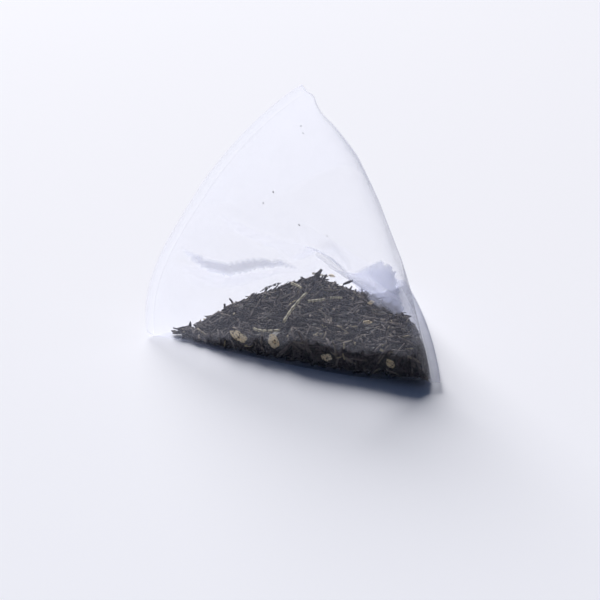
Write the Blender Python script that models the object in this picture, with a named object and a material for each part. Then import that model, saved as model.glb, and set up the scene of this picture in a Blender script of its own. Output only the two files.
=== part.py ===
"""Pyramid tea bag: a folded and welded pouch of fine mesh film with loose leaf tea lying in it.

One strip of film is rolled into a tube with a lap seam, welded flat at one end, filled, and welded
flat again at the other end at right angles to the first weld, which makes the four-sided bag. It
rests on one side: the standing weld runs from the left corner up to the apex, and the floor weld
lies along Y at the right. Units are metres, +Z is up, -Y is the front, and the bag lies on Z = 0.
"""
import math
import random

import bmesh
import bpy
import numpy as np

MM = 0.001

# Film and tube
FILM_WALL = 0.25 * MM        # thickness of one layer of film
TUBE_WIDTH = 58.0 * MM       # width of the flattened tube, which is the length of each end weld
LAP_START = 2.0 * MM         # from the middle of the back face to the lap, on the apex side
LAP_WIDTH = 4.0 * MM         # overlap of the film's long edges, down the back face
LAP_RAMP = 0.3 * MM          # width of the step at each edge of the lap
FIN_WIDTH = 1.6 * MM         # welded film outside each weld line
VENT = 0.6 * MM              # one open cell of the mesh, high on the back face

# Stance
STANDING_CHORD = 57.1 * MM   # straight distance from the left corner to the apex
STANDING_ANGLE = math.radians(58.1)
REACH = 51.6 * MM            # left corner to the middle of the floor weld, along X
STANDING_BOW = 6.0 * MM      # how far the standing weld bows outwards
FLOOR_BOW = 1.4 * MM         # how far the floor weld bows outwards
CORNER_LIFT = 2.0 * MM       # how far the floor weld's front corner curls up off the floor
LIFT_START = 0.62            # share of the tube's length from which that corner curls
LIFT_SIDE = 0.35             # and share of the half width

# The right face swells and pinches along the tube: (share of the tube's length, swell outwards)
RIGHT_SWELL = (
    (0.00, 0.0 * MM),
    (0.10, -2.0 * MM),
    (0.22, -0.4 * MM),
    (0.35, 1.2 * MM),
    (0.55, 2.2 * MM),
    (0.80, 2.2 * MM),
    (1.00, 0.0 * MM),
)

# Roundness of the tube's section: 2 is an ellipse, more is squarer. The underside would bulge through
# the floor by this share, and lies flat on it instead.
REST_BULGE = 1.25
END_ROUNDNESS = 2.0
LOWER_ROUNDNESS = 6.5
UPPER_ROUNDNESS = 3.1
# How the standing weld's bow falls off towards the floor corner and towards the apex
LOWER_BOW_POWER = 3.5
UPPER_BOW_POWER = 2.0

# Creases pressed into the back face. A point is (share of the tube's length from the standing weld,
# distance across the film from the middle of the back towards the apex, depth), in millimetres. The
# film slopes away from a crease at one rate on the apex side and at another on the floor side.
FILM_SLACK = 1.28            # length of the film between its welds over the straight distance
SHELF_CREASE = {
    "points": ((0.03, -7.0, 0.0), (0.11, -6.5, 2.3), (0.22, -6.0, 4.6), (0.37, -4.5, 5.6),
               (0.50, -6.0, 4.0), (0.61, -9.0, 0.0)),
    "apex_slope": 2.0,
    "floor_slope": 0.9,
}
# This one is the deepest: it carries the film down onto the crest of the tea.
SEAM_CREASE = {
    "points": ((0.07, 2.0, 0.0), (0.26, 2.0, 2.2), (0.41, 2.0, 6.5), (0.52, 2.0, 8.4), (0.58, 2.0, 13.5),
               (0.67, 2.0, 17.0), (0.76, 2.0, 14.5), (0.86, 2.0, 7.0), (0.94, 2.0, 0.0)),
    "apex_slope": 0.78,
    "floor_slope": 3.2,
}
PLEAT_CREASE = {
    "points": ((0.37, 12.0, 0.0), (0.50, 2.0, 6.0)),
    "apex_slope": 0.8,
    "floor_slope": 0.8,
}
CREASES = (SHELF_CREASE, SEAM_CREASE, PLEAT_CREASE)
WELD_EASE = 6.0              # millimetres over which the creases ease in from each weld
DENT_DIRECTION = (0.20, -0.94, -0.28)

# The heap and the loose pieces are placed for a bag of this reach and width, and move with its sizes.
PLACED_REACH = 51.6 * MM
PLACED_WIDTH = 58.0 * MM

# Tea heap: a crest that falls away to the front and the back. A point of the crest is (x, y, height)
# and a slope is how far the heap falls for each unit of distance from the crest.
TEA_CLEARANCE = 0.3 * MM     # between the leaf and the film
HEAP_CREST = (
    (3.0 * MM, 0.0 * MM, 0.7 * MM),
    (10.0 * MM, 0.0 * MM, 1.3 * MM),
    (14.0 * MM, 1.0 * MM, 3.0 * MM),
    (18.0 * MM, 2.5 * MM, 5.0 * MM),
    (25.0 * MM, 4.0 * MM, 7.0 * MM),
    (30.0 * MM, 5.0 * MM, 8.6 * MM),
    (35.0 * MM, 5.0 * MM, 8.8 * MM),
    (40.0 * MM, 2.0 * MM, 8.3 * MM),
    (44.0 * MM, -3.0 * MM, 7.7 * MM),
    (47.0 * MM, -9.0 * MM, 7.3 * MM),
    (49.5 * MM, -18.0 * MM, 6.5 * MM),
    (52.0 * MM, -24.0 * MM, 3.8 * MM),
)
# (x, slope to the front, slope to the back)
HEAP_SLOPES = (
    (10.0 * MM, 0.10, 0.10),
    (18.0 * MM, 0.25, 0.35),
    (35.0 * MM, 0.25, 0.40),
    (47.0 * MM, 0.14, 0.40),
)
# A second, lower mound fills the back corner: (x, y, height), and how far it falls to each side
CORNER_MOUND = (49.0 * MM, 20.0 * MM, 6.0 * MM)
CORNER_SLOPE = 0.45
LEAF_RELIEF = 0.80 * MM      # height of the lumps that the leaf makes in the heap's surface
LEAF_GRAIN = 2.2 * MM        # spacing of those lumps
LUMP_LENGTH = 0.9            # half the length and half the width of a lump over that spacing
LUMP_WIDTH = 0.5
LEAST_LUMP = 0.5             # height of the lowest lump over the highest
LUMP_SEEDS = (7919, 104729)
SEAT_GAP = 0.3 * MM          # between a loose piece and the heap it lies on

# Loose pieces on the heap, in millimetres. Their places are (x, y).
# Stems: (name, start, end, thickness, sideways bend)
STEMS = (
    ("stem_long", (26.4, -8.9), (31.1, -1.3), 0.62, 0.35),
    ("stem_cross", (31.2, -3.7), (34.5, -3.1), 0.52, -0.2),
    ("stem_far", (35.4, -3.2), (37.8, -3.4), 0.46, 0.1),
    ("stem_short", (28.4, 3.0), (30.2, 0.6), 0.5, 0.15),
    ("stalk_curved", (20.8, -8.4), (25.7, -10.6), 0.5, -1.0),
    ("stem_back", (33.0, 9.0), (36.0, 13.0), 0.55, 0.4),
)
# Curled leaves: (name, start, end, width, sideways bend, rise of the end, turns)
CURLS = (
    ("leaf_left_flat", (18.2, -0.6), (21.2, -1.8), 0.85, 0.2, 0.3, 0.4),
    ("leaf_left_spike", (20.6, 1.2), (21.2, 0.4), 0.45, 0.0, 0.9, 0.3),
    ("leaf_crest_left", (31.4, 3.6), (30.2, 3.9), 0.5, 0.1, 1.1, 0.3),
    ("leaf_crest_tall", (32.2, 2.4), (34.1, 3.2), 0.85, 0.3, 2.5, 0.5),
    ("leaf_crest_right", (34.6, 1.8), (35.5, 2.2), 0.55, 0.1, 1.2, 0.3),
    ("leaf_curl_mid", (22.4, -6.8), (25.3, -5.2), 0.7, 0.4, 0.0, 0.8),
    ("leaf_curl_low", (35.6, -9.6), (39.2, -10.8), 0.75, -0.4, 0.0, 1.0),
    ("leaf_curl_right", (42.6, -9.0), (45.4, -12.2), 0.7, 0.4, 0.2, 0.7),
    ("leaf_curl_back", (22.5, 5.2), (26.6, 6.4), 0.8, 0.5, 0.3, 1.0),
)
# Chips of stalk and leaf rib on the heap: (name, place, (length, width, thickness), heading)
CHIPS = (
    ("chip_ridge", (43.0, -5.6), (1.3, 0.9, 0.5), 20.0),
    ("chip_middle", (32.4, -14.4), (2.0, 0.9, 0.5), 35.0),
    ("chip_right", (41.6, -12.9), (1.8, 1.0, 0.6), -20.0),
    ("chip_back", (36.5, 7.5), (2.2, 1.1, 0.6), 60.0),
)
# Chips pressed against the front film: (name, share of the tube's length, distance down from the front's
# middle over half the tube's width, (length, height, thickness), heading)
FRONT_CHIPS = (
    ("chip_front_left", 0.31, 0.58, (3.8, 2.0, 1.2), -12.0),
    ("chip_front_middle", 0.43, 0.437, (2.2, 2.8, 1.1), 30.0),
    ("chip_front_low", 0.62, 0.290, (2.2, 1.5, 1.0), 10.0),
    ("chip_front_right", 0.83, 0.069, (1.8, 2.2, 1.0), 35.0),
)

# Fineness of the meshes
SPACED_COLUMNS = 11          # columns in each quarter of the girth, besides the lap's own
LAST_COLUMN = 1.6 * MM       # from the last of them to the end of the quarter
ROWS = 32
HEAP_STEP = 1.25 * MM
LEAST_HOLLOW = 0.1 * MM      # the hollow stops where it is this thin, near each weld
SECTION_STEPS = 240
FILM_SLANT = 0.75
SWELL_SMOOTHING = 0.06       # share of the length over which the swell is smoothed
SWELL_SAMPLES = 9
MIDDLE_REACH = 5.2           # how soon the section takes its full roundness, from each weld
FAR_FROM_BACK = 1000.0       # millimetres, so no crease reaches there
MARGIN = 3.0 * MM
LEAST_TEA = 1.3 * MM         # the thin layer of tea round the heap
CREST_ROUND = 2.0 * MM       # how far the heap's two slopes are rounded into each other
FREE_COLUMN = 5              # the first column past the lap, counted from the middle of the back
SHARP_ANGLE = math.radians(35.0)
STEM_SIDES = 6
STEM_RINGS = 6
STEM_TAPER = (1.1, 0.9)      # thickness at the start and at the end
CURL_END = 0.55              # width of a rolled leaf's ends over its middle
CURL_FLATNESS = 0.5          # its thickness over its width
CHIP_UNEVENNESS = 0.22
CHIP_REACH = 1.0 * MM        # how far each way the heap's slope is measured for a chip
SHARE_STEP = 0.02            # and the film's, as a share of the tube's length
NEARLY_UPRIGHT = 0.9
VENT_ROW = 9
VENT_COLUMN = 50

FILM_COLOUR = (0.90, 0.92, 0.97)
LEAF_COLOUR = (0.075, 0.070, 0.060)
CURL_COLOUR = (0.12, 0.11, 0.095)
STEM_COLOUR = (0.42, 0.38, 0.27)
CHIP_COLOUR = (0.50, 0.42, 0.27)


def unit(vector):
    vector = np.asarray(vector, float)
    return vector / np.linalg.norm(vector)


ALONG_STANDING = np.array([math.cos(STANDING_ANGLE), 0.0, math.sin(STANDING_ANGLE)])
OUT_STANDING = np.array([-math.sin(STANDING_ANGLE), 0.0, math.cos(STANDING_ANGLE)])
ALONG_FLOOR = np.array([0.0, 1.0, 0.0])
OUT_FLOOR = np.array([1.0, 0.0, 0.0])
STANDING_MIDDLE = ALONG_STANDING * STANDING_CHORD / 2 - OUT_STANDING * FIN_WIDTH
FLOOR_MIDDLE = np.array([REACH, 0.0, FILM_WALL])
TUBE_AXIS = unit(FLOOR_MIDDLE - STANDING_MIDDLE)
TUBE_LENGTH = FILM_SLACK * np.linalg.norm(FLOOR_MIDDLE - STANDING_MIDDLE)
RIGHT_FACE_OUT = np.array([-TUBE_AXIS[2], 0.0, TUBE_AXIS[0]])
DENT_IN = unit(DENT_DIRECTION)
# The film slopes against the plane of its section, so a step in that plane is longer by this share.
FILM_INSET = FILM_WALL / FILM_SLANT
TEA_INSET = (FILM_WALL + TEA_CLEARANCE) / FILM_SLANT


# The tube's surface

def quarter_arc(half_across, half_long, roundness, flat_at, shares, folds=(), free=1):
    """Points at shares of the arc from (0, half_long) to (half_across, 0), which is cut flat where it
    is flat_at away from the middle, and the arc's length. From column free on, the column nearest to
    the corner of the flat, and to each fold, moves onto it, so that the edge is a clean line."""
    corner = math.asin(min(1.0, (flat_at / half_across)) ** (roundness / 2))
    turn = np.sort(np.append(np.linspace(0.0, math.pi / 2, SECTION_STEPS), corner))
    p = np.minimum(half_across * np.sin(turn) ** (2 / roundness), flat_at)
    q = half_long * np.cos(turn) ** (2 / roundness)
    run = np.concatenate([[0.0], np.cumsum(np.hypot(np.diff(p), np.diff(q)))])
    columns = shares * run[-1]
    for edge in (*folds, np.interp(corner, turn, run)):
        nearest = np.argmin(np.abs(columns - edge))
        if free <= nearest < len(columns) - 1:
            columns[nearest] = edge
    return np.interp(columns, run, p), np.interp(columns, run, q), run[-1]


def girth_shares():
    """Column places in a quarter of the girth, with a pair of columns at each edge of the lap."""
    quarter = TUBE_WIDTH / 2
    lap_end = LAP_START + LAP_WIDTH
    on_lap = [LAP_START - LAP_RAMP, LAP_START, lap_end]
    spaced = np.linspace(lap_end + LAP_RAMP, quarter - LAST_COLUMN, SPACED_COLUMNS)
    return np.concatenate([[0.0], on_lap, spaced, [quarter]]) / quarter


def swell(share):
    """How far the right face stands out at this share of the tube's length, on a smooth curve."""
    places, sizes = np.array(RIGHT_SWELL).T
    window = np.linspace(-1.0, 1.0, SWELL_SAMPLES)
    weight = 1.0 + np.cos(window * math.pi)
    smooth = np.sum(np.interp(share + window * SWELL_SMOOTHING, places, sizes) * weight) / np.sum(weight)
    return smooth * min(1.0, share / SWELL_SMOOTHING, (1.0 - share) / SWELL_SMOOTHING)


def crease_depth(share, across, inset):
    """Depth that the creases press the film in, at a share of the tube's length and distances across it
    in millimetres. A surface that is set inwards goes further in on a slope, so that the wall between
    stays as thick."""
    depth = np.zeros_like(across)
    along = share * TUBE_LENGTH / MM
    for crease in CREASES:
        points = [(start * TUBE_LENGTH / MM, y, d) for start, y, d in crease["points"]]
        for (x0, y0, d0), (x1, y1, d1) in zip(points[:-1], points[1:]):
            run_x, run_y = x1 - x0, y1 - y0
            length = math.hypot(run_x, run_y)
            t = np.clip(((along - x0) * run_x + (across - y0) * run_y) / length ** 2, 0.0, 1.0)
            off_x = along - x0 - t * run_x
            off_y = across - y0 - t * run_y
            apex_side = run_x * off_y - run_y * off_x > 0
            slope = np.where(apex_side, crease["apex_slope"], crease["floor_slope"])
            fall = (d1 - d0) / length
            deeper = (np.sqrt(1.0 + slope ** 2 + fall ** 2) - 1.0) * inset / MM
            roof = np.minimum(deeper - slope * np.hypot(off_x, off_y), inset / MM / 2)
            depth = np.maximum(depth, d0 + (d1 - d0) * t + roof)
    to_weld = min(share, 1.0 - share) * TUBE_LENGTH / MM
    deeper = (math.hypot(1.0, 2.0 * to_weld / WELD_EASE) - 1.0) * inset / MM
    return np.minimum(depth, to_weld ** 2 / WELD_EASE + deeper) * MM


def distance_from_middle(p, q):
    """Distance in millimetres from the middle of the back to each point, measured on the film."""
    return np.concatenate([[0.0], np.cumsum(np.hypot(np.diff(p), np.diff(q)))]) / MM


def fold_places(share, side):
    """How far from the middle of the back each crease on one side of it lies, at this share."""
    places = []
    for crease in CREASES:
        starts, across, _ = np.array(crease["points"]).T
        place = np.interp(share, starts, across) * side
        if starts[0] < share < starts[-1] and place > LAP_START / MM:
            places.append(place * MM)
    return places


def film_ring(share, inset=0.0, lap=False):
    """One ring of the film at a share of the tube's length. It starts at the middle of the back and runs
    round by the underside, the front and the right face. inset moves it inwards; lap adds the second
    layer."""
    columns = girth_shares()
    centre = STANDING_MIDDLE * (1.0 - share) + FLOOR_MIDDLE * share
    middle = min(1.0, MIDDLE_REACH * share * (1.0 - share))
    lower_roundness = END_ROUNDNESS + (LOWER_ROUNDNESS - END_ROUNDNESS) * middle
    upper_roundness = END_ROUNDNESS + (UPPER_ROUNDNESS - END_ROUNDNESS) * middle
    to_floor = centre[2] / ALONG_STANDING[2]
    half_up = FILM_WALL + TUBE_WIDTH / 2 * (1.0 - share)
    half_side = FILM_WALL + TUBE_WIDTH / 2 * share
    # The girth of the tube is the same all along it, and the standing weld's bow takes some of it.
    half_girth = TUBE_WIDTH - (TUBE_WIDTH - STANDING_CHORD) * (1.0 - share) ** 2
    grow = 1.0
    for _ in range(4):
        up, side = half_up * grow, half_side * grow
        reach = to_floor * REST_BULGE
        front_low_p, front_low_q, lower_run = quarter_arc(reach, side, lower_roundness, to_floor, columns)
        front_up_p, front_up_q, upper_run = quarter_arc(up, side, upper_roundness, up, columns)
        grow *= half_girth / (lower_run + upper_run)
    low_folds, up_folds = fold_places(share, -1), fold_places(share, 1)
    back_low_p, back_low_q, _ = quarter_arc(reach, side, lower_roundness, to_floor, columns, low_folds)
    back_up_p, back_up_q, _ = quarter_arc(up, side, upper_roundness, up, columns, up_folds, FREE_COLUMN)
    side_scale = (side - inset) / side
    floor_inset = inset / ALONG_STANDING[2]
    low = (to_floor - floor_inset) / to_floor
    high = (up - inset) / up
    p = np.concatenate([-back_low_p * low, -front_low_p[-2::-1] * low, front_up_p[1:] * high,
                        back_up_p[-2:0:-1] * high])
    q = np.concatenate([back_low_q, -front_low_q[-2::-1], -front_up_q[1:], back_up_q[-2:0:-1]])

    # height runs from -1 on the floor side of the ring to 1 on the apex side
    height = np.where(p < 0, p / (to_floor - floor_inset), p / (up - inset))
    power = np.where(height < 0, LOWER_BOW_POWER, UPPER_BOW_POWER)
    bow = STANDING_BOW * (1.0 - np.abs(height) ** power) * (1.0 - share) ** 2
    ring = centre + p[:, None] * ALONG_STANDING + (q * side_scale)[:, None] * ALONG_FLOOR
    ring += bow[:, None] * OUT_STANDING
    ring += (swell(share) * ((1.0 + height) / 2) ** 2)[:, None] * RIGHT_FACE_OUT
    ring[:, 0] += FLOOR_BOW * (1.0 - (q / side) ** 2) * share ** 2

    # Only the back half of the ring has creases and the lap.
    last = len(columns) - 1
    across = np.full(len(p), FAR_FROM_BACK)
    across[:last + 1] = -distance_from_middle(back_low_p, back_low_q)
    across[-last:] = distance_from_middle(back_up_p, back_up_q)[:0:-1]
    ring += crease_depth(share, across, inset)[:, None] * DENT_IN
    if lap:
        from_lap = np.abs(across * MM - LAP_START - LAP_WIDTH / 2)
        ring[from_lap < LAP_WIDTH / 2 + LAP_RAMP / 2] -= DENT_IN * FILM_WALL
    ring[:, 2] = np.maximum(ring[:, 2], inset)
    to_end = max(0.0, share - LIFT_START) / (1.0 - LIFT_START)
    to_corner = np.clip(-q * side_scale / side - LIFT_SIDE, 0.0, None) / (1.0 - LIFT_SIDE)
    ring[:, 2] += CORNER_LIFT * to_end ** 2 * to_corner ** 2
    return ring


def tube_surface(inset=0.0, fins=False):
    """Vertices, faces and ring size of the tube's surface, flattened shut at both ends."""
    # A surface inside the film stops short of each weld, where the film is flattened shut.
    clear = (inset - FILM_WALL + LEAST_HOLLOW) / (TUBE_WIDTH / 2) if inset else 0.0
    shares = np.linspace(0.0, 1.0, ROWS + 1)
    rings = [film_ring(share, inset, fins) for share in np.clip(shares, clear, 1.0 - clear)]
    if fins:
        standing_fin = rings[0] + OUT_STANDING * FIN_WIDTH
        floor_fin = rings[-1] + OUT_FLOOR * FIN_WIDTH
        rings = [standing_fin] + rings + [floor_fin]
    count = len(rings[0])
    faces = []
    for row in range(len(rings) - 1):
        low, high = row * count, (row + 1) * count
        for column in range(count):
            after = (column + 1) % count
            face = (low + column, low + after, high + after, high + column)
            # Each square is split along the way that the bag's lower edges cross it.
            faces.append(face[1:] + face[:1] if column < count // 4 else face)
    # The standing end pairs the back with the front, the floor end the underside with the top.
    faces += shut_end(0, count, count // 4, count // 2)
    faces += shut_end((len(rings) - 1) * count, count, 0, count)
    return np.concatenate(rings), faces, count


def shut_end(base, count, first, mirror):
    """Faces across a flattened ring: columns first to first + count / 2 meet their partners, and the
    partner of a column is mirror - column."""
    faces = []
    for column in range(first, first + count // 2):
        corners = (column, column + 1, mirror - column - 1, mirror - column)
        faces.append(tuple(dict.fromkeys(base + corner % count for corner in corners)))
    return faces


# Scene objects

def material(name, colour, roughness, alpha=1.0):
    made = bpy.data.materials.new(name)
    made.use_nodes = True
    made.diffuse_color = (*colour, alpha)
    shader = made.node_tree.nodes["Principled BSDF"]
    shader.inputs["Base Color"].default_value = (*colour, 1.0)
    shader.inputs["Roughness"].default_value = roughness
    shader.inputs["Metallic"].default_value = 0.0
    shader.inputs["Alpha"].default_value = alpha
    return made


def add_object(name, vertices, faces, look, smooth=True):
    """A named object from vertices and faces, with its faces turned outwards."""
    mesh = bpy.data.meshes.new(name)
    mesh.from_pydata([tuple(v) for v in vertices], [], faces)
    form = bmesh.new()
    form.from_mesh(mesh)
    bmesh.ops.triangulate(form, faces=form.faces, quad_method="FIXED")
    bmesh.ops.recalc_face_normals(form, faces=form.faces)
    form.to_mesh(mesh)
    form.free()
    mesh.materials.append(look)
    if smooth:
        mesh.shade_smooth()
        mesh.set_sharp_from_angle(angle=SHARP_ANGLE)
    made = bpy.data.objects.new(name, mesh)
    bpy.context.scene.collection.objects.link(made)
    return made


def as_guide(made):
    """Keeps a cutter out of the model."""
    made.hide_render = True
    made.display_type = "WIRE"
    return made


def cut(target, cutter, operation):
    change = target.modifiers.new(operation.lower(), "BOOLEAN")
    change.operation = operation
    change.object = cutter
    change.solver = "EXACT"


# The pouch

def build_pouch(look):
    """The film as one folded and welded sheet: an outer and an inner surface, joined round one open
    cell of the mesh."""
    outer, outer_faces, count = tube_surface(fins=True)
    inner, inner_faces, _ = tube_surface(inset=FILM_INSET)
    vertices = np.concatenate([outer, inner])
    shift = len(outer)
    # The outer surface has one ring more at its start, for the standing fin.
    cell = VENT_ROW * count + VENT_COLUMN
    outer_cell = outer_faces.pop(cell + count)
    inner_cell = tuple(v + shift for v in inner_faces.pop(cell))
    inner_faces = [tuple(v + shift for v in face) for face in inner_faces]
    rims = []
    for corners in (outer_cell, inner_cell):
        ring = vertices[list(corners)]
        middle = ring.mean(axis=0)
        size = np.linalg.norm(ring[0] - ring[1])
        start = len(vertices)
        vertices = np.concatenate([vertices, middle + (ring - middle) * VENT / size])
        rims.append(tuple(range(start, start + 4)))
    faces = outer_faces + inner_faces
    for corners, rim in ((outer_cell, rims[0]), (inner_cell, rims[1]), rims):
        for i in range(4):
            j = (i + 1) % 4
            faces.append((corners[i], corners[j], rim[j], rim[i]))
    return add_object("mesh_pouch", vertices, faces, look)


# The tea

def lump(x, y):
    """Height of the leaf's lumps at a place on the heap, between 0 and 1, the same on every run."""
    cell_x, cell_y = math.floor(x / LEAF_GRAIN), math.floor(y / LEAF_GRAIN)
    best = 0.0
    for i in range(cell_x - 1, cell_x + 2):
        for j in range(cell_y - 1, cell_y + 2):
            draw = random.Random(i * LUMP_SEEDS[0] + j * LUMP_SEEDS[1])
            centre_x = (i + draw.random()) * LEAF_GRAIN
            centre_y = (j + draw.random()) * LEAF_GRAIN
            turn = draw.random() * math.pi
            off_x, off_y = x - centre_x, y - centre_y
            along = off_x * math.cos(turn) + off_y * math.sin(turn)
            across = off_y * math.cos(turn) - off_x * math.sin(turn)
            reach = math.hypot(along / (LUMP_LENGTH * LEAF_GRAIN), across / (LUMP_WIDTH * LEAF_GRAIN))
            best = max(best, (1.0 - reach) * (LEAST_LUMP + (1.0 - LEAST_LUMP) * draw.random()))
    return best


def placed(point):
    """A place on the floor in metres, moved with the bag's sizes."""
    return np.array(point) * MM * (REACH / PLACED_REACH, TUBE_WIDTH / PLACED_WIDTH)


def heap_height(x, y):
    """Height of the tea above the floor."""
    x, y = x * PLACED_REACH / REACH, y * PLACED_WIDTH / TUBE_WIDTH
    crest_x, crest_y, crest_height = np.array(HEAP_CREST).T
    slope_x, front_slope, back_slope = np.array(HEAP_SLOPES).T
    off = y - np.interp(x, crest_x, crest_y)
    slope = np.interp(x, slope_x, front_slope if off < 0 else back_slope)
    # The two slopes meet in a rounded crest.
    fall = slope * (math.hypot(off, CREST_ROUND) - CREST_ROUND)
    crest = np.interp(x, crest_x, crest_height) - fall
    mound_x, mound_y, mound_height = CORNER_MOUND
    mound = mound_height - CORNER_SLOPE * math.hypot(x - mound_x, y - mound_y)
    return max(crest, mound, LEAST_TEA) + LEAF_RELIEF * lump(x, y)


def heap_grid():
    """Places of the points from which the heap's upper surface is made."""
    across = np.arange(-MARGIN, REACH + MARGIN, HEAP_STEP)
    deep = np.arange(-TUBE_WIDTH / 2 - MARGIN, TUBE_WIDTH / 2 + MARGIN, HEAP_STEP)
    return across, deep


def surface_height(x, y):
    """Height of the heap's own triangles at a place, which are flat between the grid's points."""
    across, deep = heap_grid()
    i = math.floor((x - across[0]) / HEAP_STEP)
    j = math.floor((y - deep[0]) / HEAP_STEP)
    u = (x - across[i]) / HEAP_STEP
    v = (y - deep[j]) / HEAP_STEP
    near = heap_height(across[i], deep[j])
    far = heap_height(across[i + 1], deep[j + 1])
    if u > v:
        side = heap_height(across[i + 1], deep[j])
        return near + u * (side - near) + v * (far - side)
    side = heap_height(across[i], deep[j + 1])
    return near + v * (side - near) + u * (far - side)


def build_mound():
    """A block with the heap's upper surface, wider than the pouch, that cuts the heap to height."""
    across, deep = heap_grid()
    nx, ny = len(across), len(deep)
    top = [(x, y, heap_height(x, y)) for x in across for y in deep]
    base = [(x, y, -MARGIN) for x in across for y in deep]
    faces = []
    for i in range(nx - 1):
        for j in range(ny - 1):
            a, b, c, d = i * ny + j, (i + 1) * ny + j, (i + 1) * ny + j + 1, i * ny + j + 1
            faces.append((a, b, c, d))
            faces.append(tuple(v + nx * ny for v in (d, c, b, a)))
    rim = [i * ny for i in range(nx)]
    rim += [(nx - 1) * ny + j for j in range(1, ny)]
    rim += [i * ny + ny - 1 for i in range(nx - 2, -1, -1)]
    rim += [j for j in range(ny - 2, 0, -1)]
    for k, first in enumerate(rim):
        after = rim[(k + 1) % len(rim)]
        faces.append((first, after, after + nx * ny, first + nx * ny))
    return as_guide(add_object("mound_guide", top + base, faces, material("guide", LEAF_COLOUR, 1.0)))


def build_tea_space():
    """The whole space that the tea can fill inside the film."""
    vertices, faces, _ = tube_surface(inset=TEA_INSET)
    return as_guide(add_object("tea_space_guide", vertices, faces, material("guide", LEAF_COLOUR, 1.0)))


def build_heap(look, tea_space):
    """The bulk of the tea, which fills the pouch up to the heap's own surface."""
    heap = bpy.data.objects.new("tea_heap", tea_space.data.copy())
    bpy.context.scene.collection.objects.link(heap)
    heap.data.materials.clear()
    heap.data.materials.append(look)
    cut(heap, build_mound(), "INTERSECT")
    return heap


# Loose pieces

def rest_on_heap(vertices, faces):
    """Lifts or lowers a piece until it lies on the heap, a seat gap above it."""
    checked = [vertices[list(face)].mean(axis=0) for face in faces]
    checked += [(vertices[face[i - 1]] + vertices[face[i]]) / 2 for face in faces for i in range(len(face))]
    checked += list(vertices)
    lift = max(surface_height(x, y) + SEAT_GAP - z for x, y, z in checked)
    return vertices + np.array([0.0, 0.0, lift])


def straw(start, end, half_widths, half_thicknesses, bend, rise, turns):
    """Vertices and faces of a stiff strip from one place to another, bent sideways and twisted."""
    start, end = placed(start), placed(end)
    along = unit(end - start)
    aside = np.array([-along[1], along[0]])
    heights = surface_height(*start), surface_height(*end) + rise * MM
    shares = np.linspace(0.0, 1.0, STEM_RINGS)
    path = []
    for share in shares:
        place = start + (end - start) * share + aside * bend * MM * 4 * share * (1 - share)
        path.append((*place, heights[0] + (heights[1] - heights[0]) * share))
    path = np.array(path)
    vertices = []
    for k, share in enumerate(shares):
        forward = unit(path[min(k + 1, STEM_RINGS - 1)] - path[max(k - 1, 0)])
        side = unit(np.cross(forward, (0.0, 0.0, 1.0)))
        up = np.cross(side, forward)
        turn = 2 * math.pi * turns * share
        wide = side * math.cos(turn) + up * math.sin(turn)
        thin = up * math.cos(turn) - side * math.sin(turn)
        for i in range(STEM_SIDES):
            angle = 2 * math.pi * i / STEM_SIDES
            offset = wide * half_widths[k] * math.cos(angle) + thin * half_thicknesses[k] * math.sin(angle)
            vertices.append(path[k] + offset)
    faces = []
    for k in range(STEM_RINGS - 1):
        for i in range(STEM_SIDES):
            j = (i + 1) % STEM_SIDES
            low, high = k * STEM_SIDES, (k + 1) * STEM_SIDES
            faces.append((low + i, low + j, high + j, high + i))
    faces.append(tuple(range(STEM_SIDES)))
    faces.append(tuple(range((STEM_RINGS - 1) * STEM_SIDES, STEM_RINGS * STEM_SIDES)))
    return np.array(vertices), faces


def build_stem(look, name, start, end, thickness, bend):
    """A round straight stalk that is a little thicker at one end."""
    halves = np.linspace(*STEM_TAPER, STEM_RINGS) * thickness * MM / 2
    vertices, faces = straw(start, end, halves, halves, bend, 0.0, 0.0)
    return add_object(name, rest_on_heap(vertices, faces), faces, look)


def build_curl(look, name, start, end, width, bend, rise, turns):
    """A rolled leaf: a flattened, twisted strip with narrow ends."""
    shares = np.linspace(0.0, 1.0, STEM_RINGS)
    swelling = CURL_END + (1.0 - CURL_END) * np.sin(math.pi * shares)
    halves = swelling * width * MM / 2
    vertices, faces = straw(start, end, halves, halves * CURL_FLATNESS, bend, rise, turns)
    return add_object(name, rest_on_heap(vertices, faces), faces, look)


def pebble(name, sizes, axes, middle, extra=0.0):
    """Vertices and faces of an uneven rounded chip with its length, width and thickness along axes."""
    form = bmesh.new()
    bmesh.ops.create_icosphere(form, subdivisions=2, radius=1.0)
    draw = random.Random(name)
    vertices = []
    for vertex in form.verts:
        uneven = 1.0 + CHIP_UNEVENNESS * (draw.random() - 0.5) * 2
        halves = np.array(sizes) * MM / 2 + extra
        vertices.append(middle + (np.array(vertex.co) * halves * uneven) @ axes)
    faces = [tuple(vertex.index for vertex in face.verts) for face in form.faces]
    form.free()
    return np.array(vertices), faces


def chip_axes(out, heading):
    """Axes of a chip that lies flat against a face which looks outwards: length, width, thickness."""
    level = np.cross((0.0, 0.0, 1.0), out) if abs(out[2]) < NEARLY_UPRIGHT else np.array([1.0, 0.0, 0.0])
    level = unit(level - out * (level @ out))
    upward = np.cross(out, level)
    turn = math.radians(heading)
    length = level * math.cos(turn) + upward * math.sin(turn)
    return np.array([length, np.cross(out, length), out])


def build_chip(look, name, place, sizes, heading):
    """A chip lying on the heap's slope."""
    x, y = placed(place)
    rise_x = surface_height(x + CHIP_REACH, y) - surface_height(x - CHIP_REACH, y)
    rise_y = surface_height(x, y + CHIP_REACH) - surface_height(x, y - CHIP_REACH)
    axes = chip_axes(unit((-rise_x, -rise_y, 2 * CHIP_REACH)), heading)
    vertices, faces = pebble(name, sizes, axes, np.array([x, y, surface_height(x, y)]))
    return add_object(name, rest_on_heap(vertices, faces), faces, look)


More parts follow.
